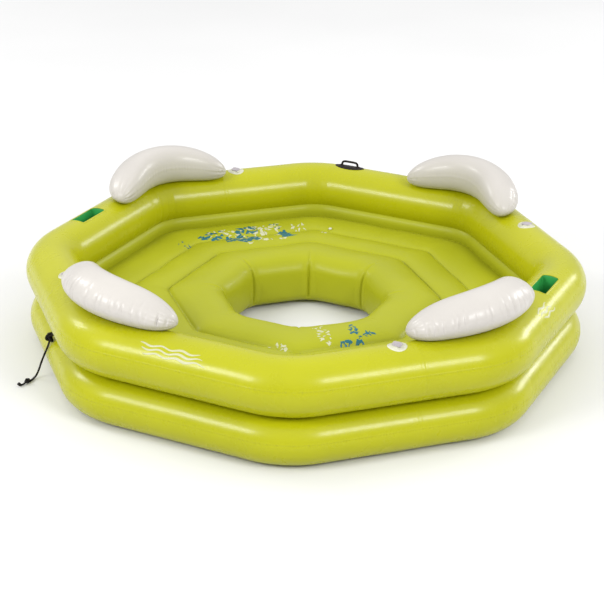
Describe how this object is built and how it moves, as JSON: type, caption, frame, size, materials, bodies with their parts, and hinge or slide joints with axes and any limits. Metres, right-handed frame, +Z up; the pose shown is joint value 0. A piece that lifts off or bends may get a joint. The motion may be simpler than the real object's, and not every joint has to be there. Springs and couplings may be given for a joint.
{
  "type": "inflatable floating island",
  "caption": "Octagonal inflatable water lounge: stacked ring tubes, a ribbed seat floor with a central foot well, headrest bolsters, drink pockets, valves and a tie cord.",
  "frame": {"origin": "on the ground under the middle of the octagon", "axes": "+Z up; one corner of the octagon points to -Y, which the picture looks at from slightly above; +X to the right"},
  "size_m": [2.3, 2.3, 0.5713],
  "materials": {
    "tube_vinyl": "glossy lime green PVC sheet",
    "seat_vinyl": "satin lime green PVC sheet",
    "pillow_vinyl": "white PVC sheet, puckered at its seams",
    "well_vinyl": "dark green PVC",
    "valve_plastic": "white moulded PVC",
    "cap_plastic": "grey-mauve moulded PVC",
    "flap_plastic": "clear soft PVC",
    "handle_rubber": "black moulded rubber",
    "cord_fibre": "black braided cord"
  },
  "bodies": {
    "island": {"back_left_bolster": "pillow_vinyl", "back_right_bolster": "pillow_vinyl", "back_valve_base": "valve_plastic", "cord_fitting": "handle_rubber", "front_left_bolster": "pillow_vinyl", "front_right_bolster": "pillow_vinyl", "front_valve_base": "valve_plastic", "handle_loop": "handle_rubber", "handle_patch": "handle_rubber", "inner_seat_web": "seat_vinyl", "left_drink_well": "well_vinyl", "left_valve_base": "valve_plastic", "lower_tube_panel_1": "tube_vinyl", "lower_tube_panel_2": "tube_vinyl", "lower_tube_panel_3": "tube_vinyl", "lower_tube_panel_4": "tube_vinyl", "lower_tube_panel_5": "tube_vinyl", "lower_tube_panel_6": "tube_vinyl", "lower_tube_panel_7": "tube_vinyl", "lower_tube_panel_8": "tube_vinyl", "outer_seat_web": "seat_vinyl", "right_drink_well": "well_vinyl", "right_valve_base": "valve_plastic", "seat_panel_1": "seat_vinyl", "seat_panel_2": "seat_vinyl", "seat_panel_3": "seat_vinyl", "seat_panel_4": "seat_vinyl", "seat_panel_5": "seat_vinyl", "seat_panel_6": "seat_vinyl", "seat_panel_7": "seat_vinyl", "seat_panel_8": "seat_vinyl", "seat_strip": "seat_vinyl", "seat_valve": "valve_plastic", "stopper_knot": "cord_fibre", "tie_cord": "cord_fibre", "upper_tube_panel_1": "tube_vinyl", "upper_tube_panel_2_after_well": "tube_vinyl", "upper_tube_panel_2_before_well": "tube_vinyl", "upper_tube_panel_2_cradle": "tube_vinyl", "upper_tube_panel_2_inner_cheek": "tube_vinyl", "upper_tube_panel_2_outer_cheek": "tube_vinyl", "upper_tube_panel_3": "tube_vinyl", "upper_tube_panel_4": "tube_vinyl", "upper_tube_panel_5": "tube_vinyl", "upper_tube_panel_6_after_well": "tube_vinyl", "upper_tube_panel_6_before_well": "tube_vinyl", "upper_tube_panel_6_cradle": "tube_vinyl", "upper_tube_panel_6_inner_cheek": "tube_vinyl", "upper_tube_panel_6_outer_cheek": "tube_vinyl", "upper_tube_panel_7": "tube_vinyl", "upper_tube_panel_8": "tube_vinyl"},
    "front_valve_cap": {"front_valve_cap": "cap_plastic"},
    "front_valve_flap": {"front_valve_flap": "flap_plastic"},
    "right_valve_cap": {"right_valve_cap": "cap_plastic"},
    "right_valve_flap": {"right_valve_flap": "flap_plastic"},
    "back_valve_cap": {"back_valve_cap": "cap_plastic"},
    "back_valve_flap": {"back_valve_flap": "flap_plastic"},
    "left_valve_cap": {"left_valve_cap": "cap_plastic"},
    "left_valve_flap": {"left_valve_flap": "flap_plastic"}
  },
  "joints": [
    {"name": "front_cap_hinge", "type": "hinge", "parent": "island", "child": "front_valve_cap", "pos_m": [0.37487, -0.8815, 0.4187], "axis": [-0.9239, -0.3827, 0], "range_deg": [0, 165]},
    {"name": "front_flap_hinge", "type": "hinge", "parent": "island", "child": "front_valve_flap", "pos_m": [0.37767, -0.88825, 0.4028], "axis": [0.9239, 0.3827, 0], "range_deg": [0, 60], "stiffness_Nm_per_rad": 0.001, "springref_deg": -28.65},
    {"name": "right_cap_hinge", "type": "hinge", "parent": "island", "child": "right_valve_cap", "pos_m": [0.90026, 0.3296, 0.4187], "axis": [0.3827, -0.9239, 0], "range_deg": [0, 165]},
    {"name": "right_flap_hinge", "type": "hinge", "parent": "island", "child": "right_valve_flap", "pos_m": [0.907, 0.3324, 0.4028], "axis": [-0.3827, 0.9239, 0], "range_deg": [0, 60], "stiffness_Nm_per_rad": 0.001, "springref_deg": -28.65},
    {"name": "back_cap_hinge", "type": "hinge", "parent": "island", "child": "back_valve_cap", "pos_m": [-0.36656, 0.88495, 0.4187], "axis": [0.9239, 0.3827, 0], "range_deg": [0, 165]},
    {"name": "back_flap_hinge", "type": "hinge", "parent": "island", "child": "back_valve_flap", "pos_m": [-0.36935, 0.89169, 0.4028], "axis": [-0.9239, -0.3827, 0], "range_deg": [0, 60], "stiffness_Nm_per_rad": 0.001, "springref_deg": -28.65},
    {"name": "left_cap_hinge", "type": "hinge", "parent": "island", "child": "left_valve_cap", "pos_m": [-0.88495, -0.36656, 0.4187], "axis": [-0.3827, 0.9239, 0], "range_deg": [0, 165]},
    {"name": "left_flap_hinge", "type": "hinge", "parent": "island", "child": "left_valve_flap", "pos_m": [-0.89169, -0.36935, 0.4028], "axis": [0.3827, -0.9239, 0], "range_deg": [0, 60], "stiffness_Nm_per_rad": 0.001, "springref_deg": -28.65}
  ]
}
